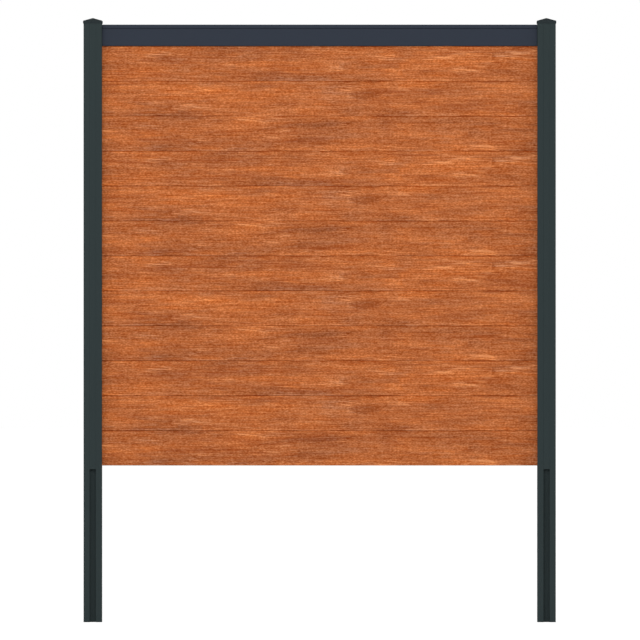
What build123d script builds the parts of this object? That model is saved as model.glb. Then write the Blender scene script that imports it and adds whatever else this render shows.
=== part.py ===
from build123d import *
import math
import os

# One bay of a privacy fence, in millimetres: tongue-and-groove boards stacked between two slotted posts.
# X runs along the fence, the front looks along -Y and Z points up.
# The origin lies midway between the posts, in the panel's middle plane, at ground level.

# Posts: square extrusions with a slot along each of the four sides, buried up to ground level
POST_SIZE = 76.0
POST_BURIED = 634.0
POST_CORNER_RADIUS = 2.5
POST_WALL = 1.8
CORE_WALL = 2.2
CORE_BEVEL = 1.5
CORNER_WEB = 3.0
SLOT_DEPTH = 20.0
SLOT_MOUTH_BEVEL = 0.3
CLEAR_SPAN = 1804.0

# Boards: hollow composite boards whose tongues point up
BOARD_COUNT = 12
BOARD_COVER = 144.9
BOARD_THICKNESS = 24.0
BOARD_SIDE_CLEARANCE = 1.0
BOARD_END_CLEARANCE = 3.0
BOARD_SKIN = 5.0
BOARD_GROUND_GAP = 14.5
TONGUE_THICKNESS = 8.0
TONGUE_HEIGHT = 9.0
TONGUE_LEAD = 1.0
TONGUE_CLEARANCE = 0.3
GROOVE_SPARE_DEPTH = 1.0
JOINT_BEVEL_HEIGHT = 1.1
JOINT_BEVEL_DEPTH = 2.2
CHAMBER_COUNT = 4
CHAMBER_BEVEL = 3.0

# Top rail: a hollow extrusion with a shadow line, notched at its ends to enter the slots
RAIL_HEIGHT = 88.2
RAIL_DEPTH = 44.0
RAIL_WALL = 2.0
RAIL_TOP_RADIUS = 2.5
RAIL_BOTTOM_RADIUS = 1.0
RAIL_END_CLEARANCE = 0.8
RAIL_HEADROOM = 5.0
SHADOW_LINE_DROP = 14.3
SHADOW_LINE_WIDTH = 4.0
SHADOW_LINE_DEPTH = 5.0

# Caps: low pyramids with a skirt around the post and a hollow plug in its core
CAP_WALL = 1.7
CAP_CLEARANCE = 0.3
CAP_SKIRT = 11.0
CAP_PLATE = 1.5
CAP_RISE = 11.6
CAP_TIP = 3.0
CAP_EDGE_BEVEL = 0.8
CAP_SEAT = 8.0
CAP_ROOF = 5.2
PLUG_DEPTH = 24.0
PLUG_WALL = 2.0
PLUG_RIB_WIDTH = 1.6

# Slot covers: U-shaped strips pressed into the slots, flush with the post's faces
COVER_FACE = 1.8
COVER_LEG = 1.5
COVER_CLEARANCE = 0.2
COVER_RIB_WIDTH = 1.5
COVER_RIB_PLACES = (0.3, 0.7)

# Stops: angle brackets in the inner slots that carry the lowest board
STOP_THICKNESS = 2.5
STOP_SETBACK = 3.0
STOP_SIDE_CLEARANCE = 0.5
STOP_HOLE_CLEARANCE = 0.6
SCREW_SHANK_DIAMETER = 4.2
SCREW_SHANK_LENGTH = 10.0
SCREW_HEAD_DIAMETER = 7.5
SCREW_HEAD_HEIGHT = 2.6
SCREW_HEAD_BEVEL = 0.9
SCREW_HEAD_MARGIN = 1.75
SCREW_DRIVE_WIDTH = 1.2
SCREW_DRIVE_LENGTH = 4.4
SCREW_DRIVE_DEPTH = 1.4
PILOT_CLEARANCE = 0.2

# Places that follow from the sizes above
PANEL_TOP = BOARD_GROUND_GAP + BOARD_COUNT * BOARD_COVER
POST_TOP = PANEL_TOP + RAIL_HEIGHT + RAIL_HEADROOM + CAP_SKIRT - CAP_PLATE
POST_HALF = POST_SIZE / 2
POST_OFFSET = (CLEAR_SPAN + POST_SIZE) / 2
SLOT_WIDTH = BOARD_THICKNESS + 2 * BOARD_SIDE_CLEARANCE
SLOT_FLOOR = POST_HALF - SLOT_DEPTH
CORE_INSIDE = 2 * (SLOT_FLOOR - CORE_WALL)
PANEL_LENGTH = CLEAR_SPAN + 2 * (SLOT_DEPTH - BOARD_END_CLEARANCE)
GROOVE_WIDTH = TONGUE_THICKNESS + 2 * TONGUE_CLEARANCE
GROOVE_DEPTH = TONGUE_HEIGHT + GROOVE_SPARE_DEPTH
CAP_SIZE = POST_SIZE + 2 * (CAP_CLEARANCE + CAP_WALL)
PLUG_SIZE = CORE_INSIDE - 2 * CAP_CLEARANCE
STOP_WIDTH = SLOT_WIDTH - 2 * STOP_SIDE_CLEARANCE
STOP_HOLE_HEIGHT = (BOARD_GROUND_GAP - STOP_THICKNESS) / 2
SCREW_OFFSET = (STOP_WIDTH - SCREW_HEAD_DIAMETER) / 2 - SCREW_HEAD_MARGIN
SCREW_PLACES = (-SCREW_OFFSET, SCREW_OFFSET)
SIDES = {"left": -1, "right": 1}
MATCH = 0.01


def post_section():
    """Square outline with four slots, a square core and a hollow cell in each corner."""
    section = RectangleRounded(POST_SIZE, POST_SIZE, POST_CORNER_RADIUS)
    slot = Pos((POST_HALF + SLOT_FLOOR) / 2, 0) * Rectangle(SLOT_DEPTH, SLOT_WIDTH)
    for quarter in range(4):
        section -= Rot(0, 0, 90 * quarter) * slot
    mouths = section.vertices().filter_by(
        lambda v: abs(max(abs(v.X), abs(v.Y)) - POST_HALF) < MATCH
        and abs(min(abs(v.X), abs(v.Y)) - SLOT_WIDTH / 2) < MATCH
    )
    section = chamfer(mouths, SLOT_MOUTH_BEVEL)
    section -= bevelled_square(CORE_INSIDE, CORE_BEVEL)
    for quarter in range(4):
        section -= Rot(0, 0, 90 * quarter) * corner_cell()
    return section


def bevelled_square(size, bevel):
    """Square with its corners cut off."""
    return chamfer(Rectangle(size, size).vertices(), bevel)


def corner_cell():
    """Hollow of the corner tube at +X +Y, cut across where it backs onto the core."""
    inside = SLOT_WIDTH / 2 + POST_WALL
    outside = POST_HALF - POST_WALL
    size = outside - inside
    middle = (outside + inside) / 2
    hollow = Pos(middle, middle) * Rectangle(size, size)
    backing_size = math.sqrt(2) * CORE_INSIDE + 2 * CORNER_WEB
    return hollow - Rot(0, 0, 45) * Rectangle(backing_size, backing_size)


def post(side):
    """Post cut to length, drilled in its inner slot for the stop's screws."""
    body = extrude(post_section(), amount=POST_BURIED + POST_TOP)
    body = Pos(side * POST_OFFSET, 0, -POST_BURIED) * body
    for y in SCREW_PLACES:
        body -= inner_slot_cylinder(side, y, SCREW_SHANK_DIAMETER + PILOT_CLEARANCE, -CORE_WALL, 0)
    return body


def inner_slot_cylinder(side, y, diameter, start, end):
    """Level cylinder from start to end, counted from the inner slot's floor towards the panel."""
    rod = extrude(Plane.YZ * Circle(diameter / 2), amount=end - start)
    rod = Pos(SLOT_FLOOR + start - POST_OFFSET, y, STOP_HOLE_HEIGHT) * rod
    return rod if side < 0 else mirror(rod, about=Plane.YZ)


def cover_section():
    """U-shaped strip in the slot that faces +X, with thin ribs that press on the slot's walls."""
    width = SLOT_WIDTH - 2 * COVER_CLEARANCE
    section = Pos((POST_HALF + SLOT_FLOOR) / 2, 0) * Rectangle(SLOT_DEPTH, width)
    inside_depth = SLOT_DEPTH - COVER_FACE
    inside_middle = SLOT_FLOOR + inside_depth / 2
    section -= Pos(inside_middle, 0) * Rectangle(inside_depth, width - 2 * COVER_LEG)
    for fraction in COVER_RIB_PLACES:
        rib_x = SLOT_FLOOR + fraction * SLOT_DEPTH
        for hand in (-1, 1):
            rib_y = hand * (SLOT_WIDTH - COVER_CLEARANCE) / 2
            section += Pos(rib_x, rib_y) * Rectangle(COVER_RIB_WIDTH, COVER_CLEARANCE)
    return section


def slot_cover(side, facing):
    """Strip from ground level to the post's top, in the slot at the given angle from +X."""
    strip = extrude(cover_section(), amount=POST_TOP)
    return Pos(side * POST_OFFSET, 0, 0) * Rot(0, 0, facing) * strip


def board_section():
    """Tongue at the top, groove at the bottom, bevelled joint edges and a row of chambers."""
    half = BOARD_THICKNESS / 2
    edge = half - JOINT_BEVEL_DEPTH
    tip = TONGUE_THICKNESS / 2
    top = BOARD_COVER + TONGUE_HEIGHT
    outline = Polyline(
        (0, GROOVE_DEPTH),
        (GROOVE_WIDTH / 2, GROOVE_DEPTH),
        (GROOVE_WIDTH / 2, 0),
        (edge, 0),
        (half, JOINT_BEVEL_HEIGHT),
        (half, BOARD_COVER - JOINT_BEVEL_HEIGHT),
        (edge, BOARD_COVER),
        (tip, BOARD_COVER),
        (tip, top - TONGUE_LEAD),
        (tip - TONGUE_LEAD, top),
        (0, top),
        close=True,
    )
    half_section = make_face(outline)
    section = half_section + mirror(half_section, about=Plane.YZ)
    pitch = (BOARD_COVER - GROOVE_DEPTH - BOARD_SKIN) / CHAMBER_COUNT
    chamber = Rectangle(BOARD_THICKNESS - 2 * BOARD_SKIN, pitch - BOARD_SKIN)
    chamber = chamfer(chamber.vertices(), CHAMBER_BEVEL)
    for index in range(CHAMBER_COUNT):
        middle = GROOVE_DEPTH + (index + 0.5) * pitch + BOARD_SKIN / 2
        section -= Pos(0, middle) * chamber
    return section


def board(section, index):
    """Board at its place in the stack, with its ends inside the slots."""
    body = extrude(Plane.YZ * section, amount=PANEL_LENGTH / 2, both=True)
    return Pos(0, 0, BOARD_GROUND_GAP + index * BOARD_COVER) * body


def rail_section():
    """Box with a spine as thick as a board, a groove for the top tongue and a shadow line on each face."""
    section = Pos(0, RAIL_HEIGHT / 2) * Rectangle(RAIL_DEPTH, RAIL_HEIGHT)
    corners = section.vertices().sort_by(Axis.Y)
    section = fillet(corners[2:], RAIL_TOP_RADIUS)
    corners = section.vertices().sort_by(Axis.Y)
    section = fillet(corners[:2], RAIL_BOTTOM_RADIUS)
    line_top = RAIL_HEIGHT - SHADOW_LINE_DROP
    line_bottom = line_top - SHADOW_LINE_WIDTH
    for hand in (-1, 1):
        line_y = hand * (RAIL_DEPTH - SHADOW_LINE_DEPTH) / 2
        line_z = (line_top + line_bottom) / 2
        section -= Pos(line_y, line_z) * Rectangle(SHADOW_LINE_DEPTH, SHADOW_LINE_WIDTH)
    section -= Pos(0, GROOVE_DEPTH / 2) * Rectangle(GROOVE_WIDTH, GROOVE_DEPTH)
    cell_top = line_bottom - RAIL_WALL
    spine_inside = BOARD_THICKNESS / 2 - RAIL_WALL
    outer_inside = RAIL_DEPTH / 2 - RAIL_WALL
    section -= cell(-spine_inside, spine_inside, GROOVE_DEPTH + RAIL_WALL, cell_top)
    section -= cell(-outer_inside, -BOARD_THICKNESS / 2, RAIL_WALL, cell_top)
    section -= cell(BOARD_THICKNESS / 2, outer_inside, RAIL_WALL, cell_top)
    section -= cell(-outer_inside, outer_inside, line_top + RAIL_WALL, RAIL_HEIGHT - RAIL_WALL)
    return section


def cell(left, right, bottom, top):
    """Rectangular hollow between the given edges."""
    return Pos((left + right) / 2, (bottom + top) / 2) * Rectangle(right - left, top - bottom)


def top_rail():
    """Rail on the top board, with its faces cut back at the ends so that the spine enters the slots."""
    body = extrude(Plane.YZ * rail_section(), amount=PANEL_LENGTH / 2, both=True)
    face_end = CLEAR_SPAN / 2 - RAIL_END_CLEARANCE
    notch_length = PANEL_LENGTH / 2 - face_end
    notch_depth = (RAIL_DEPTH - BOARD_THICKNESS) / 2
    notch = Box(notch_length, notch_depth, RAIL_HEIGHT)
    for x in (-1, 1):
        for y in (-1, 1):
            notch_x = x * (face_end + notch_length / 2)
            notch_y = y * (BOARD_THICKNESS + notch_depth) / 2
            body -= Pos(notch_x, notch_y, RAIL_HEIGHT / 2) * notch
    return Pos(0, 0, PANEL_TOP) * body


def square_frustum(base, tip, bottom, top):
    """Slice of a square pyramid between two heights."""
    inset = (base - tip) / 2
    pyramid_slice = Wedge(base, top - bottom, base, inset, inset, base - inset, base - inset)
    return Pos(0, 0, (bottom + top) / 2) * Rot(90, 0, 0) * pyramid_slice


def post_cap(side):
    """Pyramid with a skirt, hollow underneath, and a ribbed plug that presses into the post's core."""
    eave_size = CAP_SIZE - 2 * CAP_EDGE_BEVEL
    cap = square_frustum(CAP_SIZE, CAP_SIZE, -CAP_SKIRT, -CAP_EDGE_BEVEL)
    cap += square_frustum(CAP_SIZE, eave_size, -CAP_EDGE_BEVEL, 0)
    cap += square_frustum(eave_size, CAP_TIP, 0, CAP_RISE)
    corners = extrude(bevelled_square(CAP_SIZE, CAP_EDGE_BEVEL), amount=CAP_SKIRT + CAP_RISE)
    cap &= Pos(0, 0, -CAP_SKIRT) * corners
    inside = POST_SIZE + 2 * CAP_CLEARANCE
    cap -= square_frustum(inside, inside, -CAP_SKIRT, -CAP_PLATE)
    cap -= square_frustum(POST_SIZE - 2 * CAP_SEAT, CAP_TIP, -CAP_PLATE, CAP_RISE - CAP_ROOF)
    return Pos(side * POST_OFFSET, 0, POST_TOP + CAP_PLATE) * (cap + cap_plug())


def cap_plug():
    """Hollow square plug, rooted halfway up the cap's roof, with two ribs on each side."""
    section = bevelled_square(PLUG_SIZE, CORE_BEVEL)
    rib_x = (PLUG_SIZE + CAP_CLEARANCE) / 2
    for quarter in range(4):
        for rib_y in (-PLUG_SIZE / 4, PLUG_SIZE / 4):
            rib = Pos(rib_x, rib_y) * Rectangle(CAP_CLEARANCE, PLUG_RIB_WIDTH)
            section += Rot(0, 0, 90 * quarter) * rib
    bore = PLUG_SIZE - 2 * PLUG_WALL
    section -= Rectangle(bore, bore)
    roof_height = CAP_RISE * (CAP_SIZE - PLUG_SIZE) / (CAP_SIZE - CAP_TIP)
    root = roof_height - CAP_ROOF / 2
    return Pos(0, 0, -PLUG_DEPTH) * extrude(section, amount=PLUG_DEPTH + root)


def board_stop(side):
    """Angle bracket on the inner slot's floor, its ledge under the end of the lowest board."""
    leg = Box(STOP_THICKNESS, STOP_WIDTH, BOARD_GROUND_GAP)
    leg = Pos(STOP_THICKNESS / 2, 0, BOARD_GROUND_GAP / 2) * leg
    ledge_length = SLOT_DEPTH - STOP_SETBACK
    ledge_height = BOARD_GROUND_GAP - STOP_THICKNESS / 2
    ledge = Pos(ledge_length / 2, 0, ledge_height) * Box(ledge_length, STOP_WIDTH, STOP_THICKNESS)
    bracket = Pos(SLOT_FLOOR - POST_OFFSET, 0, 0) * (leg + ledge)
    if side > 0:
        bracket = mirror(bracket, about=Plane.YZ)
    hole = SCREW_SHANK_DIAMETER + STOP_HOLE_CLEARANCE
    for y in SCREW_PLACES:
        bracket -= inner_slot_cylinder(side, y, hole, 0, STOP_THICKNESS)
    return bracket


def stop_screw(side, y):
    """Pan-head screw through the stop into the post's core wall, with a cross recess."""
    head_end = STOP_THICKNESS + SCREW_HEAD_HEIGHT
    head = inner_slot_cylinder(side, y, SCREW_HEAD_DIAMETER, STOP_THICKNESS, head_end)
    rim = head.edges().filter_by(GeomType.CIRCLE).sort_by(lambda e: abs(e.center().X))[0]
    head = chamfer(rim, SCREW_HEAD_BEVEL)
    recess_x = side * (POST_OFFSET - SLOT_FLOOR - head_end + SCREW_DRIVE_DEPTH / 2)
    for quarter in (0, 90):
        recess = Box(SCREW_DRIVE_DEPTH, SCREW_DRIVE_WIDTH, SCREW_DRIVE_LENGTH)
        head -= Pos(recess_x, y, STOP_HOLE_HEIGHT) * Rot(quarter, 0, 0) * recess
    shank_end = STOP_THICKNESS - SCREW_SHANK_LENGTH
    return head + inner_slot_cylinder(side, y, SCREW_SHANK_DIAMETER, shank_end, STOP_THICKNESS)


def stop_screws():
    """The screws of both stops, as one group of separate solids."""
    return Compound([stop_screw(side, y).solid() for side in SIDES.values() for y in SCREW_PLACES])


def fence_nodes():
    """Every piece of the bay by its node name."""
    nodes = {}
    for name, side in SIDES.items():
        nodes[f"{name}_post"] = post(side)
        nodes[f"{name}_post_cap"] = post_cap(side)
        outer = 0 if side > 0 else 180
        for place, facing in (("front", -90), ("back", 90), ("outer", outer)):
            nodes[f"{name}_{place}_slot_cover"] = slot_cover(side, facing)
        nodes[f"{name}_board_stop"] = board_stop(side)
    nodes["board_stop_screws"] = stop_screws()
    section = board_section()
    for index in range(BOARD_COUNT):
        nodes[f"board_{index + 1:02d}"] = board(section, index)
    nodes["top_rail"] = top_rail()
    return nodes


os.makedirs("parts", exist_ok=True)
for node, shape in fence_nodes().items():
    export_step(shape, f"parts/{node}.step")
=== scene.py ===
"""Dresses one bay of a privacy fence and sets it in a white studio, seen square from the front.

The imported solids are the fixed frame. The boards and the post caps are built again as finer surfaces, and
every other node keeps its own mesh and gets a finish. Lengths are metres: X runs along the fence, the front
looks along -Y, and Z points up from ground level.
"""

import logging
import math
from dataclasses import dataclass, replace
from enum import Enum

import bmesh
import bpy
import numpy as np
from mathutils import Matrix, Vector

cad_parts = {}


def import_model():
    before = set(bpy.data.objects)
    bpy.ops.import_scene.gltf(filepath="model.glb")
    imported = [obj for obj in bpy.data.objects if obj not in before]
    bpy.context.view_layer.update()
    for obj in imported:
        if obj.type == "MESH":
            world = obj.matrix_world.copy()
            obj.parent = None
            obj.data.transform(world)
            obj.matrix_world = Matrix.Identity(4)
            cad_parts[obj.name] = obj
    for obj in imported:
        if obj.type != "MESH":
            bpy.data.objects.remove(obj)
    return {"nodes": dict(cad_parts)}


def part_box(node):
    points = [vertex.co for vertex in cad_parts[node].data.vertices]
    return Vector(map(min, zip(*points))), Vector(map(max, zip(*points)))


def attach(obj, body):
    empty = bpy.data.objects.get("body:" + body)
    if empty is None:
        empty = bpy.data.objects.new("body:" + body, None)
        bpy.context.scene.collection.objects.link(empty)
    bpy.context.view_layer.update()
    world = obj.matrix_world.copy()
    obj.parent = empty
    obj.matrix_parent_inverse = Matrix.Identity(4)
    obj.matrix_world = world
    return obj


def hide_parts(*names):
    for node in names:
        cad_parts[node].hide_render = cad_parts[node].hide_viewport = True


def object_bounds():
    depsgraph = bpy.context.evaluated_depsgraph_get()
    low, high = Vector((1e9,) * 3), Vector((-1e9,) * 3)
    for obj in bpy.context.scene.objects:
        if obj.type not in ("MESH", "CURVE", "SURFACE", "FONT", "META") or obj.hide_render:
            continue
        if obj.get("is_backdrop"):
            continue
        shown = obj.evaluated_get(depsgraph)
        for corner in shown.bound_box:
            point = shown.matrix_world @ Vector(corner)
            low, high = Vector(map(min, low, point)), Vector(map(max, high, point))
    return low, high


LOG = logging.getLogger("privacy_fence")
BODY = "root"
MM = 0.001
NOISE_MIDDLE = 0.5
SHORTEST_SIDE = 1e-12

# How far over a post's foot a face that looks down still counts as its sawn end.
SAWN_DEPTH = 0.5 * MM

Socket = bpy.types.NodeSocket
Feed = Socket | float
Place = tuple[Feed, Feed, Feed]
Colour = tuple[float, float, float]
Span = tuple[float, float]

WHITE: Colour = (1.0, 1.0, 1.0)

# Ends of the scale that colours the marks on bare metal.
MARK_STOPS: Span = (0.30, 0.70)

# Numbers that stir the bits of a lattice point's indices.
COLUMN_STIR, ROW_STIR, SEED_STIR, BIT_STIR = 374761393, 668265263, 974711, 1274126177
FIRST_SHIFT, LAST_SHIFT = 13, 16
WORD, HALF_WORD = 0xFFFFFFFF, 0xFFFF


class Hand(Enum):
    """Side of the bay, as it stands in the node names."""

    LEFT = "left"
    RIGHT = "right"


class CoverPlace(Enum):
    """Slot of a post that a cover closes."""

    FRONT = "front"
    BACK = "back"
    OUTER = "outer"


class Ray(Enum):
    """Kind of light ray for which the surroundings are plain white."""

    CAMERA = "Is Camera Ray"
    GLOSSY = "Is Glossy Ray"
    TRANSMISSION = "Is Transmission Ray"


def from_screen(red: float, green: float, blue: float) -> Colour:
    """Linear colour of an 8-bit screen colour, by the sRGB curve.

    Args:
        red: Red, 0 to 255.
        green: Green, 0 to 255.
        blue: Blue, 0 to 255.

    Returns:
        The three linear components.
    """
    screen = np.array((red, green, blue)) / 255.0
    linear = np.where(screen <= 0.04045, screen / 12.92, ((screen + 0.055) / 1.055) ** 2.4)
    return tuple(float(part) for part in linear)


def smooth_step(value: np.ndarray) -> np.ndarray:
    """The curve 3t² - 2t³ of values held between 0 and 1."""
    held = np.clip(value, 0.0, 1.0)
    return held * held * (3.0 - 2.0 * held)


def lattice_value(column: np.ndarray, row: np.ndarray, seed: int) -> np.ndarray:
    """Random value of each whole-number lattice point, by mixing the bits of its two indices and the seed.

    Args:
        column: First index of each point.
        row: Second index of each point.
        seed: Number that picks one pattern.

    Returns:
        Values from 0 to 1, the same on every run.
    """
    mixed = (column * COLUMN_STIR + row * ROW_STIR + seed * SEED_STIR) & WORD
    mixed = ((mixed ^ (mixed >> FIRST_SHIFT)) * BIT_STIR) & WORD
    return ((mixed ^ (mixed >> LAST_SHIFT)) & HALF_WORD) / HALF_WORD


def smooth_noise(u: np.ndarray, v: np.ndarray, seed: int) -> np.ndarray:
    """Value noise: the four lattice values around each point, blended both ways by the smooth step.

    Args:
        u: First coordinate, in lattice cells.
        v: Second coordinate, in lattice cells.
        seed: Number that picks one pattern.

    Returns:
        Values from 0 to 1.
    """
    column, row = np.floor(u).astype(np.int64), np.floor(v).astype(np.int64)
    across, up = smooth_step(u - column), smooth_step(v - row)
    edges = []
    for level in (row, row + 1):
        left, right = lattice_value(column, level, seed), lattice_value(column + 1, level, seed)
        edges.append(left * (1 - across) + right * across)
    low, high = edges
    return low * (1 - up) + high * up


def rounded_outline(corners: np.ndarray, radii: np.ndarray, steps: int, closed: bool) -> list[np.ndarray]:
    """Corner arcs of a polygon: each corner is swept by the quadratic curve between its two tangent points.

    The tangent points lie a radius before and after the corner, so the curve (1-t)²a + 2t(1-t)c + t²b keeps
    inside the polygon's own edges.

    Args:
        corners: Corner points, one row each.
        radii: Distance of the tangent points from each corner, zero for a sharp one.
        steps: Number of spans along each arc.
        closed: Whether the last corner joins the first.

    Returns:
        One array of points for each corner, a single point where the corner is sharp.
    """
    before, after = np.roll(corners, 1, axis=0), np.roll(corners, -1, axis=0)
    to_before, to_after = before - corners, after - corners
    for way in (to_before, to_after):
        way /= np.maximum(np.linalg.norm(way, axis=1, keepdims=True), SHORTEST_SIDE)
    t = np.linspace(0.0, 1.0, steps + 1)[:, None]
    arcs = []
    for index, corner in enumerate(corners):
        end = not closed and index in (0, len(corners) - 1)
        if end or radii[index] <= 0:
            arcs.append(corner[None, :])
            continue
        a = corner + to_before[index] * radii[index]
        b = corner + to_after[index] * radii[index]
        arcs.append((1 - t) ** 2 * a + 2 * t * (1 - t) * corner + t**2 * b)
    return arcs


def tube_faces(rings: int, points: int) -> np.ndarray:
    """Quads between rings of points that are numbered ring by ring, each ring closed on itself.

    Args:
        rings: Number of rings.
        points: Number of points in a ring.

    Returns:
        Four point numbers for each quad.
    """
    ring = np.arange(rings - 1)[:, None] * points
    point = np.arange(points)[None, :]
    following = (point + 1) % points
    corners = (ring + point, ring + following, ring + points + following, ring + points + point)
    return np.stack(corners, axis=-1).reshape(-1, 4)


def surface_object(
    name: str, points: np.ndarray, faces: list[list[int]], smooth_angle: float
) -> bpy.types.Object:
    """Closed surface as an object at the origin, its faces turned outwards and its soft edges shaded smooth.

    Args:
        name: Name of the piece.
        points: Places of the vertices, one row each.
        faces: Vertex numbers of each face.
        smooth_angle: Edges that turn by less than this, in degrees, are shaded smooth.

    Returns:
        The linked object.
    """
    mesh = bpy.data.meshes.new(name)
    mesh.from_pydata(points.tolist(), [], faces)
    work = bmesh.new()
    work.from_mesh(mesh)
    bmesh.ops.recalc_face_normals(work, faces=work.faces)
    work.to_mesh(mesh)
    work.free()
    mesh.shade_smooth()
    mesh.set_sharp_from_angle(angle=math.radians(smooth_angle))
    piece = bpy.data.objects.new(name, mesh)
    bpy.context.scene.collection.objects.link(piece)
    return piece


@dataclass(frozen=True)
class Layer:
    """One noise of a finish: its cells in a metre along X, Y and Z, its weight in a sum and its octaves."""

    cells: tuple[float, float, float]
    weight: float = 0.0
    detail: float = 2.0
    roughness: float = 0.5
    distortion: float = 0.0


class NodeGraph:
    """Adds and joins the shader nodes of one material or world."""

    # Places of the colour sockets on a mix node.
    MIX_FIRST, MIX_SECOND, MIX_RESULT = 6, 7, 2

    def __init__(self, owner: bpy.types.Material | bpy.types.World) -> None:
        """Start with an empty node tree.

        Args:
            owner: Material or world that the nodes belong to.
        """
        owner.use_nodes = True
        self.tree = owner.node_tree
        self.tree.nodes.clear()

    def add(self, kind: str, **settings: object) -> bpy.types.Node:
        """Add a node.

        Args:
            kind: Blender's name of the node type.
            **settings: Properties of the node.

        Returns:
            The new node.
        """
        node = self.tree.nodes.new(kind)
        for key, value in settings.items():
            setattr(node, key, value)
        return node

    def feed(self, target: Socket, value: Feed | Colour) -> None:
        """Join a socket to a target socket, or set a plain value on it.

        Args:
            target: Input socket.
            value: Output socket, number or colour.
        """
        if isinstance(value, bpy.types.NodeSocket):
            self.tree.links.new(value, target)
        elif isinstance(value, tuple) and len(value) == 3 and len(target.default_value) == 4:
            target.default_value = (*value, 1.0)
        else:
            target.default_value = value

    def math(self, operation: str, *values: Feed) -> Socket:
        """Result of one math operation.

        Args:
            operation: Blender's name of the operation.
            *values: Its inputs in order.

        Returns:
            The output socket.
        """
        node = self.add("ShaderNodeMath", operation=operation)
        for target, value in zip(node.inputs, values):
            self.feed(target, value)
        return node.outputs[0]

    def weighted(self, start: Feed, *parts: tuple[Socket, float]) -> Socket:
        """Sum of noises taken about their middle: start plus each (value - 0.5) times its weight.

        Args:
            start: Number that the sum starts from.
            *parts: Pairs of a value around 0.5 and its weight.

        Returns:
            The sum.
        """
        total: Feed = start
        for value, weight in parts:
            centred = self.math("SUBTRACT", value, NOISE_MIDDLE)
            total = self.math("MULTIPLY_ADD", centred, weight, total)
        return total

    def band(self, value: Feed, span: Span, start: float = 0.0, end: float = 1.0) -> Socket:
        """Smooth change from start to end while the value crosses a span.

        Args:
            value: Driving value.
            span: Values at which the change begins and is complete.
            start: Result before the span.
            end: Result after it.

        Returns:
            The changed value.
        """
        node = self.add("ShaderNodeMapRange", interpolation_type="SMOOTHSTEP")
        for target, number in zip(node.inputs, (value, *span, start, end)):
            self.feed(target, number)
        return node.outputs[0]

    def place(self) -> tuple[Socket, Socket, Socket]:
        """Where the shaded point lies in the object.

        Returns:
            The object's own X, Y and Z.
        """
        split = self.add("ShaderNodeSeparateXYZ")
        self.feed(split.inputs[0], self.add("ShaderNodeTexCoord").outputs["Object"])
        return split.outputs[0], split.outputs[1], split.outputs[2]

    def stretched(self, place: Place, cells: tuple[float, float, float]) -> Socket:
        """Place counted in cells along each axis.

        Args:
            place: The three coordinates.
            cells: Cells per metre along each of them.

        Returns:
            The place as a vector.
        """
        join = self.add("ShaderNodeCombineXYZ")
        for target, value, count in zip(join.inputs, place, cells):
            self.feed(target, self.math("MULTIPLY", value, count))
        return join.outputs[0]

    def noise(self, place: Place, layer: Layer) -> Socket:
        """Noise of a place that is stretched along each axis.

        Args:
            place: The three coordinates.
            layer: Cells and octaves of the noise.

        Returns:
            The noise, about 0 to 1.
        """
        node = self.add("ShaderNodeTexNoise", noise_dimensions="3D")
        self.feed(node.inputs["Vector"], self.stretched(place, layer.cells))
        self.feed(node.inputs["Scale"], 1.0)
        self.feed(node.inputs["Detail"], layer.detail)
        self.feed(node.inputs["Roughness"], layer.roughness)
        self.feed(node.inputs["Distortion"], layer.distortion)
        return node.outputs["Fac"]

    def pieced(self, place: Place, cells: tuple[float, float, float]) -> Socket:
        """Patchwork of long pieces with abrupt ends, each of one value.

        Args:
            place: The three coordinates.
            cells: Pieces per metre along each of them.

        Returns:
            The value of the piece, 0 to 1.
        """
        node = self.add("ShaderNodeTexVoronoi", distance="CHEBYCHEV")
        self.feed(node.inputs["Vector"], self.stretched(place, cells))
        self.feed(node.inputs["Scale"], 1.0)
        split = self.add("ShaderNodeSeparateColor")
        self.feed(split.inputs[0], node.outputs["Color"])
        return split.outputs[0]

    def layered(self, start: Feed, place: Place, *layers: Layer) -> Socket:
        """Sum of layers of noise at a place, each taken about its middle and times its own weight.

        Args:
            start: Number that the sum starts from.
            place: The three coordinates.
            *layers: The noises with their weights.

        Returns:
            The sum.
        """
        return self.weighted(start, *((self.noise(place, layer), layer.weight) for layer in layers))

    def ramp(self, value: Socket, positions: tuple[float, ...], *colours: Colour) -> Socket:
        """Colour read from a scale of stops.

        Args:
            value: Position on the scale.
            positions: Positions of the stops in rising order.
            *colours: Linear colour of each stop.

        Returns:
            The colour.
        """
        node = self.add("ShaderNodeValToRGB")
        scale = node.color_ramp.elements
        while len(scale) < len(positions):
            scale.new(1.0)
        for stop, position, colour in zip(scale, positions, colours):
            stop.position = position
            stop.color = (*colour, 1.0)
        self.feed(node.inputs[0], value)
        return node.outputs[0]

    def mix(self, share: Feed, first: Feed | Colour, second: Feed | Colour, blend: str = "MIX") -> Socket:
        """Mix of two colours.

        Args:
            share: How much of the second one shows.
            first: Colour at share 0.
            second: Colour at share 1.
            blend: Blender's name of the way they mix.

        Returns:
            The mixed colour.
        """
        node = self.add("ShaderNodeMix", data_type="RGBA", blend_type=blend)
        self.feed(node.inputs[0], share)
        self.feed(node.inputs[self.MIX_FIRST], first)
        self.feed(node.inputs[self.MIX_SECOND], second)
        return node.outputs[self.MIX_RESULT]

    def bump(self, height: Socket, depth: float) -> Socket:
        """Shading normal of a fine relief.

        Args:
            height: Height of the relief, 0 to 1.
            depth: What a height of 1 stands for, in metres.

        Returns:
            The normal.
        """
        node = self.add("ShaderNodeBump")
        self.feed(node.inputs["Strength"], 1.0)
        self.feed(node.inputs["Distance"], depth)
        self.feed(node.inputs["Height"], height)
        return node.outputs["Normal"]

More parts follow.
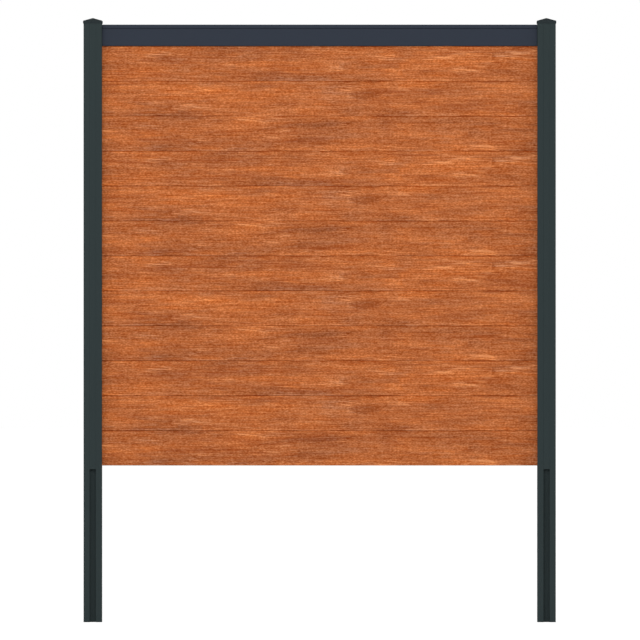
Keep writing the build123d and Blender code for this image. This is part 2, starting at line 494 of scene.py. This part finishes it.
    def surface(self, **inputs: Feed | Colour) -> bpy.types.Node:
        """Principled shader joined to the output.

        Args:
            **inputs: Socket names with underscores for spaces, and what goes into them.

        Returns:
            The shader node.
        """
        shader = self.add("ShaderNodeBsdfPrincipled")
        for key, value in inputs.items():
            self.feed(shader.inputs[key.replace("_", " ")], value)
        output = self.add("ShaderNodeOutputMaterial")
        self.feed(output.inputs["Surface"], shader.outputs[0])
        return shader

    def white_rays(self) -> Socket:
        """Tells the rays that see plain white surroundings from those that light the object.

        Returns:
            1 for a ray that sees white, otherwise 0.
        """
        path = self.add("ShaderNodeLightPath")
        total: Feed = 0.0
        for ray in Ray:
            total = self.math("MAXIMUM", total, path.outputs[ray.value])
        return total

    def by_ray(self, output: str, lit: bpy.types.Node, seen: bpy.types.Node) -> None:
        """Output with one shader for the rays that light the object and one for those that see white.

        Args:
            output: Blender's name of the output node.
            lit: Shader for the rays that light the object.
            seen: Shader for the rays that see white surroundings.
        """
        choose = self.add("ShaderNodeMixShader")
        self.feed(choose.inputs[0], self.white_rays())
        for target, shader in zip(choose.inputs[1:], (lit, seen)):
            self.feed(target, shader.outputs[0])
        self.feed(self.add(output).inputs["Surface"], choose.outputs[0])


def new_material(name: str) -> tuple[bpy.types.Material, NodeGraph]:
    """An empty material and its node graph."""
    material = bpy.data.materials.new(name)
    return material, NodeGraph(material)


@dataclass(frozen=True)
class PowderCoat:
    """Matt powder coat on aluminium, with a fine orange peel and bare metal on the sawn foot."""

    name: str
    colour: Colour
    roughness: float = 0.6
    shine: float = 0.08
    cloud: Layer = Layer((9.0, 9.0, 5.0), weight=0.10, detail=3.0)
    fleck: Layer = Layer((900.0, 900.0, 900.0), weight=0.14)
    peel: Layer = Layer((520.0, 520.0, 520.0), detail=1.5)
    peel_depth: float = 0.06 * MM
    cloud_gloss: float = 0.10
    peel_gloss: float = 0.08
    saw_height: float | None = None
    saw_facing: Span = (-0.98, -0.90)
    saw_marks: Layer = Layer((60.0, 2200.0, 60.0), detail=3.0)
    saw_dark: Colour = (0.42, 0.43, 0.44)
    saw_bright: Colour = (0.68, 0.69, 0.70)

    def sawn(self, graph: NodeGraph, place: Place) -> Socket:
        """Tells the sawn end of a post, which faces down at its foot, from the coated faces.

        Args:
            graph: Node graph of the material.
            place: Object coordinates.

        Returns:
            1 on the sawn end, otherwise 0.
        """
        facing = graph.add("ShaderNodeSeparateXYZ")
        graph.feed(facing.inputs[0], graph.add("ShaderNodeNewGeometry").outputs["Normal"])
        down = graph.band(facing.outputs[2], self.saw_facing, 1.0, 0.0)
        return graph.math("MULTIPLY", down, graph.math("LESS_THAN", place[2], self.saw_height))

    def build(self) -> bpy.types.Material:
        """Make the material: cloudy colour, finer flecks, uneven gloss and a peel-like relief.

        Returns:
            The material.
        """
        material, graph = new_material(self.name)
        place = graph.place()
        cloud, fleck, peel = (graph.noise(place, layer) for layer in (self.cloud, self.fleck, self.peel))
        shade = graph.weighted(1.0, (cloud, self.cloud.weight), (fleck, self.fleck.weight))
        colour = graph.mix(1.0, self.colour, shade, "MULTIPLY")
        gloss = graph.weighted(self.roughness, (cloud, self.cloud_gloss), (peel, self.peel_gloss))
        shader = graph.surface(Roughness=gloss, Specular_IOR_Level=self.shine,
                               Normal=graph.bump(peel, self.peel_depth))
        if self.saw_height is not None:
            sawn = self.sawn(graph, place)
            marks = graph.noise(place, self.saw_marks)
            bare = graph.ramp(marks, MARK_STOPS, self.saw_dark, self.saw_bright)
            colour = graph.mix(sawn, colour, bare)
            graph.feed(shader.inputs["Metallic"], sawn)
        graph.feed(shader.inputs["Base Color"], colour)
        return material


@dataclass(frozen=True)
class WoodGrain:
    """Printed and embossed wood grain of composite boards, the same stretch of it on every third board."""

    name: str
    lowest: float
    cover: float

    # Colours of the fine print from dark to pale, and the lightness at which each stands.
    dark: Colour = from_screen(139, 51, 4)
    brown: Colour = from_screen(160, 79, 32)
    middle: Colour = from_screen(182, 102.4, 55.9)
    light: Colour = from_screen(203.5, 126, 79)
    pale: Colour = from_screen(227, 150, 99)
    tone_stops: tuple[float, ...] = (0.12, 0.34, 0.50, 0.66, 0.90)

    # Tints of the broad patches, and of thin streaks of duller and stronger colour.
    shade_tint: Colour = (0.738, 0.79, 0.985)
    sunny_tint: Colour = (1.30, 1.235, 1.02)
    stain_stops: Span = (0.28, 0.72)
    dull_tint: Colour = (0.955, 1.025, 1.17)
    vivid_tint: Colour = (1.045, 0.975, 0.83)
    hue_stops: Span = (0.34, 0.66)

    # Gloss, fine relief, and the painted shade in the pressed grain: how much darker its recesses are made.
    roughness: float = 0.66
    shine: float = 0.08
    fibre_depth: float = 0.12 * MM
    fibre_gloss: float = 0.20
    press_shade: float = 0.35

    # How far along and across the print each of the repeated boards starts from the one below it.
    next_stretch: float = 3713.0 * MM
    next_strip: float = 471.0 * MM
    repeat: int = 3

    # Noises of the print, from the broad sway and patches to the fine fibres, flecks and rays.
    sway: Layer = Layer((1.7, 40.0, 9.0), weight=0.016)
    figure: Layer = Layer((2.2, 30.0, 13.0), weight=0.57)
    patch: Layer = Layer((6.0, 30.0, 26.0), weight=0.36, distortion=0.7)
    piece: Layer = Layer((3.0, 1.0, 22.0), weight=0.14)
    hue: Layer = Layer((12.0, 30.0, 130.0), detail=3.0, roughness=0.65)
    streak: Layer = Layer((6.0, 60.0, 260.0), weight=0.54)
    fibre: Layer = Layer((26.0, 60.0, 340.0), weight=0.34, roughness=0.6)
    fleck: Layer = Layer((115.0, 60.0, 280.0), weight=0.70, detail=1.0)
    ray: Layer = Layer((150.0, 60.0, 40.0), weight=0.13, detail=1.5)

    # Pale wisps, which are lines where a slanted noise crosses its middle, and which come in groups.
    wisp: Layer = Layer((3.8, 60.0, 112.0), weight=0.27, detail=1.0)
    wisp_slope: float = 0.09
    wisp_line: Span = (0.01, 0.07)
    wisp_group: Layer = Layer((4.6, 30.0, 24.0), detail=1.0)
    wisp_in_group: Span = (0.60, 0.70)

    # Dark pores, mostly in the dark patches.
    pore: Layer = Layer((50.0, 60.0, 170.0), weight=-0.16, detail=1.0)
    pore_from: Span = (0.54, 0.70)
    pore_stain: Span = (0.36, 0.56)
    pore_on_light: float = 0.1

    # Painted shade in a dark line at each joint, and a painted highlight on the board edge over it, both
    # uneven along the board.
    joint_run: Layer = Layer((7.0, 0.0, 5.3))
    joint_shade: float = 0.40
    highlight_weight: float = 0.18
    highlight_edge: Span = (3.5 * MM, 6.5 * MM)
    highlight_run: Span = (0.42, 0.62)
    shade_below: Span = (3.8 * MM, 2.2 * MM)
    shade_above: Span = (0.4 * MM, 1.4 * MM)
    shade_run: Span = (0.32, 0.60)
    shade_least: float = 0.3

    def on_board(self, graph: NodeGraph) -> tuple[Place, Socket, Socket]:
        """Coordinates on a board: its own stretch of the print, swayed up and down along its length.

        Args:
            graph: Node graph of the material.

        Returns:
            The place on the print, the height over the board's lower edge and the board's number.
        """
        x, y, z = graph.place()
        height = graph.math("SUBTRACT", z, self.lowest)
        row = graph.math("FLOOR", graph.math("DIVIDE", height, self.cover))
        local = graph.math("SUBTRACT", height, graph.math("MULTIPLY", row, self.cover))
        stretch = graph.math("MODULO", row, self.repeat)
        along = graph.math("MULTIPLY_ADD", stretch, self.next_stretch, x)
        across = graph.math("MULTIPLY_ADD", stretch, self.next_strip, local)
        return (along, y, graph.layered(across, (along, y, across), self.sway)), local, row

    def print_tone(self, graph: NodeGraph, place: Place, stain: Socket) -> tuple[Socket, Socket]:
        """Lightness of the fine print: thin streaks, fibres, flecks, pale wisps and dark pores.

        Args:
            graph: Node graph of the material.
            place: Place on the print.
            stain: Lightness of the broad patches, whose dark ones hold the pores.

        Returns:
            The lightness, about 0 to 1, and the fibres alone.
        """
        fibre = graph.noise(place, self.fibre)
        tone = graph.layered(NOISE_MIDDLE, place, self.streak, self.fleck, self.ray)
        tone = graph.weighted(tone, (fibre, self.fibre.weight))
        slanted = graph.math("MULTIPLY_ADD", place[0], self.wisp_slope, place[2])
        wisp = graph.noise((place[0], place[1], slanted), self.wisp)
        off_line = graph.math("ABSOLUTE", graph.math("SUBTRACT", wisp, NOISE_MIDDLE))
        line = graph.band(off_line, self.wisp_line, 1.0, 0.0)
        group = graph.band(graph.noise(place, self.wisp_group), self.wisp_in_group)
        line = graph.math("MULTIPLY", line, group)
        tone = graph.math("MULTIPLY_ADD", line, self.wisp.weight, tone)
        pore = graph.band(graph.noise(place, self.pore), self.pore_from)
        pore = graph.math("MULTIPLY", pore, graph.band(stain, self.pore_stain, 1.0, self.pore_on_light))
        return graph.math("MULTIPLY_ADD", pore, self.pore.weight, tone), fibre

    def painted_joint_light(self, graph: NodeGraph, place: Place, local: Socket, row: Socket, tone: Socket) -> Socket:
        """Lightness with painted shade in a dark line at each joint, mostly under it, and a painted highlight
        on the edge over it, both uneven along the board.

        Args:
            graph: Node graph of the material.
            place: Place on the print.
            local: Height over the board's lower edge.
            row: Number of the board.
            tone: Lightness of the fine print.

        Returns:
            The changed lightness.
        """
        run = graph.noise((place[0], place[1], row), self.joint_run)
        # Painted highlight along the lower edge of each board, just over the joint below it.
        highlight_band = graph.band(local, self.highlight_edge, 1.0, 0.0)
        edge_highlight = graph.math("MULTIPLY", highlight_band, graph.band(run, self.highlight_run))
        tone = graph.math("MULTIPLY_ADD", edge_highlight, self.highlight_weight, tone)
        # Painted shade in a dark line at each joint, mostly on the top of the lower board.
        under = graph.band(local, tuple(self.cover - depth for depth in self.shade_below))
        over = graph.band(local, self.shade_above, 1.0, 0.0)
        strength = graph.band(run, self.shade_run, 1.0, self.shade_least)
        seam_shade = graph.math("MULTIPLY", graph.math("MAXIMUM", under, over), strength)
        return graph.math("MULTIPLY_ADD", seam_shade, -self.joint_shade, tone)

    def build(self) -> bpy.types.Material:
        """Make the material: the fine print with painted shade and a painted highlight at the joints,
        coloured by its lightness, then stained in broad patches.

        Returns:
            The material.
        """
        material, graph = new_material(self.name)
        place, local, row = self.on_board(graph)
        stain = graph.layered(NOISE_MIDDLE, place, self.figure, self.patch)
        stain = graph.weighted(stain, (graph.pieced(place, self.piece.cells), self.piece.weight))
        tone, fibre = self.print_tone(graph, place, stain)
        tone = self.painted_joint_light(graph, place, local, row, tone)
        colour = graph.ramp(tone, self.tone_stops, self.dark, self.brown, self.middle, self.light, self.pale)
        shading = graph.ramp(stain, self.stain_stops, self.shade_tint, self.sunny_tint)
        colour = graph.mix(1.0, colour, shading, "MULTIPLY")
        tint = graph.ramp(graph.noise(place, self.hue), self.hue_stops, self.dull_tint, self.vivid_tint)
        colour = graph.mix(1.0, colour, tint, "MULTIPLY")
        # Painted shade in the pressed grain: the deeper a point is pressed, the more it takes the darkest
        # print colour.
        depth = graph.add("ShaderNodeAttribute", attribute_name=BoardStack.DEPTH_NAME).outputs["Fac"]
        colour = graph.mix(graph.math("MULTIPLY", depth, self.press_shade), colour, self.dark)
        gloss = graph.weighted(self.roughness, (fibre, self.fibre_gloss))
        graph.surface(Base_Color=colour, Roughness=gloss, Specular_IOR_Level=self.shine,
                      Normal=graph.bump(fibre, self.fibre_depth))
        return material


@dataclass(frozen=True)
class BareMetal:
    """Bare metal with fine drawing marks along one axis and a slightly cloudy gloss."""

    name: str
    dark: Colour
    bright: Colour
    roughness: float
    marks: Layer
    cloud: Layer = Layer((70.0, 70.0, 70.0), weight=0.14)
    mark_depth: float = 0.03 * MM

    def build(self) -> bpy.types.Material:
        """Make the material.

        Returns:
            The material.
        """
        material, graph = new_material(self.name)
        place = graph.place()
        mark = graph.noise(place, self.marks)
        colour = graph.ramp(mark, MARK_STOPS, self.dark, self.bright)
        gloss = graph.weighted(graph.layered(self.roughness, place, self.cloud), (mark, self.marks.weight))
        graph.surface(Base_Color=colour, Metallic=1.0, Roughness=gloss,
                      Normal=graph.bump(mark, self.mark_depth))
        return material


@dataclass(frozen=True)
class PressedGrain:
    """One value noise of the embossed relief: length and height of its cells, and its share."""

    length: float
    height: float
    share: float

    def sample(self, x: np.ndarray, z: np.ndarray, seed: int) -> np.ndarray:
        """The noise at each point, times its share."""
        return self.share * smooth_noise(x / self.length, z / self.height, seed)


@dataclass
class BoardStack:
    """The stack of tongue-and-groove boards, each a section carried along its length with embossed faces."""

    DEPTH_NAME = "grain_depth"

    lowest: float
    cover: float
    thickness: float
    length: float
    count: int = 12
    tongue_thickness: float = 8.0 * MM
    tongue_height: float = 9.0 * MM
    tongue_lead: float = 1.0 * MM
    groove_width: float = 8.6 * MM
    groove_depth: float = 10.0 * MM
    bevel_height: float = 1.1 * MM
    bevel_depth: float = 2.2 * MM
    face_round: float = 0.5 * MM
    joint_round: float = 0.15 * MM
    edge_steps: int = 2
    emboss: float = 0.32 * MM
    emboss_margin: float = 4.0 * MM
    sway: PressedGrain = PressedGrain(310.0 * MM, 45.0 * MM, 6.0 * MM)
    grains: tuple[PressedGrain, ...] = (PressedGrain(145.0 * MM, 4.8 * MM, 0.46),
                                        PressedGrain(52.0 * MM, 3.4 * MM, 0.34),
                                        PressedGrain(400.0 * MM, 22.0 * MM, 0.30))
    press_from: float = 0.56
    press_full: float = 0.90
    board_seed: int = 100
    front_seed: int = 50
    face_rows: int = 88
    spans: int = 126
    smooth_angle: float = 35.0

    @classmethod
    def from_frame(cls) -> "BoardStack":
        """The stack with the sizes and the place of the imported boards.

        Returns:
            The stack.
        """
        low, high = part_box("board_01")
        next_low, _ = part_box("board_02")
        return cls(lowest=low[2], cover=next_low[2] - low[2],
                   thickness=high[1] - low[1], length=high[0] - low[0])

    def node(self, index: int) -> str:
        """Name of the CAD node that a board stands for."""
        return f"board_{index + 1:02d}"

    def section(self) -> tuple[np.ndarray, np.ndarray]:
        """Outline of a board's cross-section, with rounded corners and finely divided faces.

        The outline runs around the groove, up the back face, around the tongue and down the front face. Along
        the two faces, points lie at equal steps between the ends of the corner arcs.

        Returns:
            The points as rows of Y and Z, and for each +1 on the back face, -1 on the front face, else 0.
        """
        half, tip = self.thickness / 2, self.tongue_thickness / 2
        edge, groove = half - self.bevel_depth, self.groove_width / 2
        top, peak = self.cover, self.cover + self.tongue_height
        right = np.array([
            (groove, self.groove_depth), (groove, 0.0), (edge, 0.0), (half, self.bevel_height),
            (half, top - self.bevel_height), (edge, top), (tip, top), (tip, peak - self.tongue_lead),
            (tip - self.tongue_lead, peak),
        ])
        corners = np.concatenate([right, right[::-1] * (-1.0, 1.0)])
        radii = np.full(len(corners), self.joint_round)
        # Corners that the straight runs of the back and the front face start from.
        back_end, front_end = 3, len(corners) - 5
        for end in (back_end, front_end):
            radii[end:end + 2] = self.face_round
        arcs = rounded_outline(corners, radii, self.edge_steps, closed=True)
        outline, sides = [], []
        for index, arc in enumerate(arcs):
            outline.append(arc)
            sides.append(np.zeros(len(arc)))
            if index in (back_end, front_end):
                t = np.linspace(0.0, 1.0, self.face_rows + 1)[1:-1, None]
                start, end = arc[-1], arcs[index + 1][0]
                outline.append(start + (end - start) * t)
                sides.append(np.full(len(t), 1.0 if index == back_end else -1.0))
        return np.concatenate(outline), np.concatenate(sides)

    def grain(self, x: np.ndarray, z: np.ndarray, seed: int) -> np.ndarray:
        """Depth of the embossed grain, from 0 to 1, at each point of a face.

        Value noises, long and thin along the board, are added after a slower noise has swayed them up and
        down. What rises over a threshold is pressed in, and the pressing fades out next to the bevels.

        Args:
            x: Place along the board.
            z: Height over the board's lower edge.
            seed: Number that picks the board's own pattern.

        Returns:
            The depth as a share of the full emboss.
        """
        swayed = z + self.sway.sample(x, z, seed)
        total = sum(grain.sample(x, swayed, seed + number) for number, grain in enumerate(self.grains, 1))
        pressed = smooth_step((total - self.press_from) / (self.press_full - self.press_from))
        margin = np.minimum(z, self.cover - z) - self.bevel_height
        return pressed * smooth_step(margin / self.emboss_margin)

    def build(self, index: int) -> bpy.types.Object:
        """Build one board: point (i, j) is outline point j at length step i, pressed in by its grain depth.

        Args:
            index: Place in the stack, from the lowest.

        Returns:
            The board.
        """
        outline, sides = self.section()
        x = np.linspace(-self.length / 2, self.length / 2, self.spans + 1)[:, None]
        y, z = outline[None, :, 0], outline[None, :, 1]
        seed = self.board_seed * (index + 1)
        back, front = self.grain(x, z, seed), self.grain(x, z, seed + self.front_seed)
        depth = np.where(sides > 0, back, front) * np.abs(sides)
        points = np.stack(np.broadcast_arrays(x, y - sides * depth * self.emboss,
                                              z + self.lowest + index * self.cover), axis=-1).reshape(-1, 3)
        ring = len(outline)
        faces = tube_faces(self.spans + 1, ring).tolist()
        faces += [list(range(ring)), list(range(self.spans * ring, (self.spans + 1) * ring))]
        piece = surface_object(f"grained_{self.node(index)}", points, faces, self.smooth_angle)
        layer = piece.data.attributes.new(self.DEPTH_NAME, "FLOAT", "POINT")
        layer.data.foreach_set("value", depth.astype(np.float32).ravel())
        return piece

    def dress(self, finish: WoodGrain) -> None:
        """Build every board, give it its finish and let it stand for its node.

        Args:
            finish: Finish of the boards.
        """
        material = finish.build()
        for index in range(self.count):
            piece = self.build(index)
            piece.data.materials.append(material)
            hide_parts(self.node(index))
            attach(piece, BODY)
            LOG.info("%s: %d faces", piece.name, len(piece.data.polygons))


@dataclass
class PostCap:
    """A low pyramid cap with skirt, hollow roof and plug, as one profile carried around a rounded square."""

    hand: Hand
    centre_x: float
    half: float
    peak: float
    inside: float = 38.3 * MM
    seat: float = 30.0 * MM
    skirt: float = 11.0 * MM
    plate: float = 1.5 * MM
    rise: float = 11.6 * MM
    roof: float = 5.2 * MM
    tip: float = 1.5 * MM
    eave_bevel: float = 0.8 * MM
    plug_half: float = 15.5 * MM
    plug_wall: float = 2.0 * MM
    plug_depth: float = 24.0 * MM
    tip_round: float = 1.2 * MM
    edge_round: float = 0.4 * MM
    edge_steps: int = 3
    corner: float = 2.0 * MM
    corner_share: float = 0.5
    arc_steps: int = 5
    side_steps: int = 6
    smooth_angle: float = 40.0

    @classmethod
    def on_post(cls, hand: Hand) -> "PostCap":
        """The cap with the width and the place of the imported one.

        Args:
            hand: Side of the bay.

        Returns:
            The cap.
        """
        low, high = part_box(f"{hand.value}_post_cap")
        return cls(hand, centre_x=(low[0] + high[0]) / 2, half=(high[0] - low[0]) / 2, peak=high[2])

    def profile(self) -> np.ndarray:
        """Half-width and height of the cap's wall, from the tip over the outside to the inner roof.

        Returns:
            Rows of half-width and height over the cap's eave, with softened edges.
        """
        hollow = self.rise - self.roof
        slope = (hollow + self.plate) / (self.seat - self.tip)
        bore = self.plug_half - self.plug_wall
        outer_root = -self.plate + slope * (self.seat - self.plug_half)
        inner_root = -self.plate + slope * (self.seat - bore)
        corners = np.array([
            (0.0, self.rise), (self.tip, self.rise), (self.half - self.eave_bevel, 0.0),
            (self.half, -self.eave_bevel), (self.half, -self.skirt), (self.inside, -self.skirt),
            (self.inside, -self.plate), (self.seat, -self.plate), (self.plug_half, outer_root),
            (self.plug_half, -self.plug_depth), (bore, -self.plug_depth), (bore, inner_root),
            (self.tip, hollow), (0.0, hollow),
        ])
        radii = np.full(len(corners), self.edge_round)
        tip_edge = 1
        radii[tip_edge] = self.tip_round
        return np.concatenate(rounded_outline(corners, radii, self.edge_steps, closed=False))

    def ring(self, half: np.ndarray) -> np.ndarray:
        """Rounded squares: a quarter circle and the side after it, four times, each turned by a right angle.

        Each corner's radius shrinks with its square, so that the hips stay soft up to the tip.

        Args:
            half: Half-width of each square, one row each.

        Returns:
            X and Y of each square's points.
        """
        radius = np.minimum(self.corner, self.corner_share * half)
        turn = np.linspace(0.0, np.pi / 2, self.arc_steps + 1)
        step = np.linspace(0.0, 1.0, self.side_steps + 1)[1:-1]
        side_x = (half - radius) * (1 - 2 * step)
        side_y = np.broadcast_to(half, side_x.shape)
        x = np.concatenate([half - radius + radius * np.cos(turn), side_x], axis=1)
        y = np.concatenate([half - radius + radius * np.sin(turn), side_y], axis=1)
        return np.stack([np.concatenate([x, -y, -x, y], axis=1), np.concatenate([y, x, -y, -x], axis=1)])

    def build(self) -> bpy.types.Object:
        """Build the cap: point (i, j) is profile point i carried to place j on a square of that half-width.

        The two ends of the profile are single points on the axis, each joined to the next ring by a fan.

        Returns:
            The cap.
        """
        profile = self.profile()
        eave = self.peak - self.rise
        x, y = self.ring(profile[1:-1, :1])
        z = np.broadcast_to(profile[1:-1, 1:], x.shape)
        rings, points = x.shape
        wall = np.stack([x + self.centre_x, y, z + eave], axis=-1).reshape(-1, 3)
        poles = np.array([(self.centre_x, 0.0, eave + profile[end, 1]) for end in (0, -1)])
        first = np.arange(points)
        following = (first + 1) % points
        last = (rings - 1) * points
        top_pole = np.full(points, rings * points)
        faces = tube_faces(rings, points).tolist()
        faces += np.stack([top_pole, first, following], axis=1).tolist()
        faces += np.stack([top_pole + 1, last + following, last + first], axis=1).tolist()
        return surface_object(f"soft_{self.hand.value}_post_cap", np.concatenate([wall, poles]), faces,
                              self.smooth_angle)

    def dress(self, coat: bpy.types.Material) -> None:
        """Build the cap, coat it and let it stand for its node.

        Args:
            coat: Coating of the cap.
        """
        piece = self.build()
        piece.data.materials.append(coat)
        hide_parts(f"{self.hand.value}_post_cap")
        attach(piece, BODY)
        LOG.info("%s: %d faces", piece.name, len(piece.data.polygons))


def paint(node: bpy.types.Object, material: bpy.types.Material) -> None:
    """Give a CAD node one finish in place of what it came with.

    Args:
        node: The node's object.
        material: The finish.
    """
    node.data.materials.clear()
    node.data.materials.append(material)
    LOG.info("%s: %s", node.name, material.name)


@dataclass
class SlottedPost:
    """One post with its three slot covers and its cap."""

    hand: Hand
    nodes: dict[str, bpy.types.Object]

    def dress(self, coat: bpy.types.Material, shaded_cap_coat: bpy.types.Material) -> None:
        """Coat the post and its covers, and put the cap on.

        Args:
            coat: Coating of the post and its covers.
            shaded_cap_coat: Coating of the cap.
        """
        paint(self.nodes[f"{self.hand.value}_post"], coat)
        for place in CoverPlace:
            paint(self.nodes[f"{self.hand.value}_{place.value}_slot_cover"], coat)
        PostCap.on_post(self.hand).dress(shaded_cap_coat)


@dataclass
class BoardStops:
    """The brackets in the inner slots that carry the boards, with their screws."""

    nodes: dict[str, bpy.types.Object]

    def dress(self, bracket: bpy.types.Material, screw: bpy.types.Material) -> None:
        """Finish both brackets and all their screws.

        Args:
            bracket: Finish of the brackets.
            screw: Finish of the screws.
        """
        for hand in Hand:
            paint(self.nodes[f"{hand.value}_board_stop"], bracket)
        paint(self.nodes["board_stop_screws"], screw)


@dataclass
class TopRail:
    """The rail that caps the boards."""

    nodes: dict[str, bpy.types.Object]

    def dress(self, coat: bpy.types.Material) -> None:
        """Coat the rail."""
        paint(self.nodes["top_rail"], coat)


@dataclass
class Studio:
    """White surroundings, soft light from all sides and the camera square in front of the bay."""

    floor_height: float
    floor_reach: float = 70.0
    floor_points: int = 96
    dome_level: float = 1.70
    dome_top: float = 0.10
    bounce: float = 0.75
    floor_share: float = 0.35
    floor_white: float = 0.84
    key_level: float = 0.22
    key_place: tuple[float, float, float] = (-0.9, -6.9, 3.4)
    key_size: float = 4.0
    aim: tuple[float, float, float] = (0.0, 0.0, 0.9)
    camera_distance: float = 40.0
    frame_width: float = 2.6530
    centre_x: float = 1.4 * MM
    centre_z: float = 617.6 * MM
    sensor: float = 36.0
    sight: float = 1000.0

    def light_dome(self) -> None:
        """World that lights from all sides, less from overhead, and is white to the camera and in gloss."""
        world = bpy.data.worlds.new("studio_walls")
        graph = NodeGraph(world)
        split = graph.add("ShaderNodeSeparateXYZ")
        graph.feed(split.inputs[0], graph.add("ShaderNodeTexCoord").outputs["Generated"])
        # The height of the direction looked in is 0 at the horizon and 1 overhead.
        fall = graph.add("ShaderNodeMapRange")
        for target, number in zip(fall.inputs, (split.outputs[2], 0.0, 1.0, self.dome_level, self.dome_top)):
            graph.feed(target, number)
        lamp = graph.add("ShaderNodeBackground")
        graph.feed(lamp.inputs["Color"], WHITE)
        graph.feed(lamp.inputs["Strength"], fall.outputs[0])
        white = graph.add("ShaderNodeBackground")
        graph.feed(white.inputs["Color"], WHITE)
        graph.feed(white.inputs["Strength"], 1.0)
        graph.by_ray("ShaderNodeOutputWorld", lamp, white)
        bpy.context.scene.world = world

    def lay_floor(self) -> None:
        """Round floor under the posts' feet: one face on a circle, white, with the bay's soft shadow."""
        angle = np.linspace(0.0, 2 * np.pi, self.floor_points, endpoint=False)
        ring = np.stack([np.cos(angle), np.sin(angle), np.zeros_like(angle)], axis=1) * self.floor_reach
        ring[:, 2] = self.floor_height
        mesh = bpy.data.meshes.new("studio_floor")
        mesh.from_pydata(ring.tolist(), [], [list(range(len(ring)))])
        floor = bpy.data.objects.new("studio_floor", mesh)
        bpy.context.scene.collection.objects.link(floor)
        material, graph = new_material("pale_floor")
        plain = graph.add("ShaderNodeBsdfDiffuse")
        graph.feed(plain.inputs["Color"], (self.bounce,) * 3)
        shaded = graph.add("ShaderNodeBsdfDiffuse")
        graph.feed(shaded.inputs["Color"], (self.floor_share,) * 3)
        glow = graph.add("ShaderNodeEmission")
        graph.feed(glow.inputs["Strength"], self.floor_white)
        seen = graph.add("ShaderNodeAddShader")
        graph.feed(seen.inputs[0], shaded.outputs[0])
        graph.feed(seen.inputs[1], glow.outputs[0])
        graph.by_ray("ShaderNodeOutputMaterial", plain, seen)
        mesh.materials.append(material)
        floor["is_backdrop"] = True
        LOG.info("%s: stage", floor.name)

    def hang_key(self) -> None:
        """Soft box high in front; its power is its level times pi squared times its distance squared."""
        place, aim = np.array(self.key_place), np.array(self.aim)
        lamp = bpy.data.lights.new("front_soft_box", "AREA")
        lamp.size = self.key_size
        lamp.energy = self.key_level * np.pi**2 * float(((place - aim) ** 2).sum())
        box = bpy.data.objects.new("front_soft_box", lamp)
        bpy.context.scene.collection.objects.link(box)
        box.location = self.key_place
        down_line = aim - place
        flat = math.hypot(down_line[0], down_line[1])
        box.rotation_euler = (math.atan2(flat, -down_line[2]), 0.0, math.atan2(-down_line[0], down_line[1]))

    def set_camera(self) -> None:
        """Far camera with a long lens, level and square to the front, so that edges keep parallel."""
        data = bpy.data.cameras.new("front_camera")
        data.sensor_width = self.sensor
        data.lens = self.sensor * self.camera_distance / self.frame_width
        data.clip_end = self.sight
        camera = bpy.data.objects.new("front_camera", data)
        bpy.context.scene.collection.objects.link(camera)
        camera.location = (self.centre_x, -self.camera_distance, self.centre_z)
        camera.rotation_euler = (math.pi / 2, 0.0, 0.0)
        bpy.context.scene.camera = camera

    def build(self) -> None:
        """Set up the floor, the light, the camera and a plain view of the colours."""
        self.light_dome()
        self.lay_floor()
        self.hang_key()
        self.set_camera()
        bpy.context.scene.view_settings.view_transform = "Standard"


POST_COAT = PowderCoat("charcoal_powder_coat", from_screen(46, 56, 57))
# The cap's coat is a darker copy of the post's coat, as painted shade on the cap, with a duller gloss.
SHADED_CAP_COAT = PowderCoat("cap_powder_coat_painted_shade", from_screen(44, 51, 53), roughness=0.75, shine=0.03)
RAIL_COAT = PowderCoat("blue_grey_powder_coat", from_screen(48, 54, 65))
MILL_ALUMINIUM = BareMetal("mill_aluminium", (0.50, 0.51, 0.52), (0.70, 0.71, 0.72), 0.42,
                           Layer((90.0, 1400.0, 90.0), weight=0.18, detail=3.0, roughness=0.6))
ZINC_STEEL = BareMetal("zinc_plated_steel", (0.40, 0.41, 0.42), (0.58, 0.58, 0.57), 0.36,
                       Layer((600.0, 600.0, 600.0), weight=0.18, detail=3.0, roughness=0.6))


def main() -> None:
    """Load the frame, dress the bay and set up the studio on the frame's lowest point."""
    logging.basicConfig(level=logging.INFO, format="%(message)s")
    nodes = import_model()["nodes"]
    solid_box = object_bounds()
    foot = solid_box[0][2]
    boards = BoardStack.from_frame()
    boards.dress(WoodGrain("wood_grain_composite", boards.lowest, boards.cover))
    post_coat = replace(POST_COAT, saw_height=foot + SAWN_DEPTH)
    coat, shaded_cap_coat = post_coat.build(), SHADED_CAP_COAT.build()
    for hand in Hand:
        SlottedPost(hand, nodes).dress(coat, shaded_cap_coat)
    BoardStops(nodes).dress(MILL_ALUMINIUM.build(), ZINC_STEEL.build())
    TopRail(nodes).dress(RAIL_COAT.build())
    Studio(floor_height=foot).build()


if __name__ == "__main__":
    main()
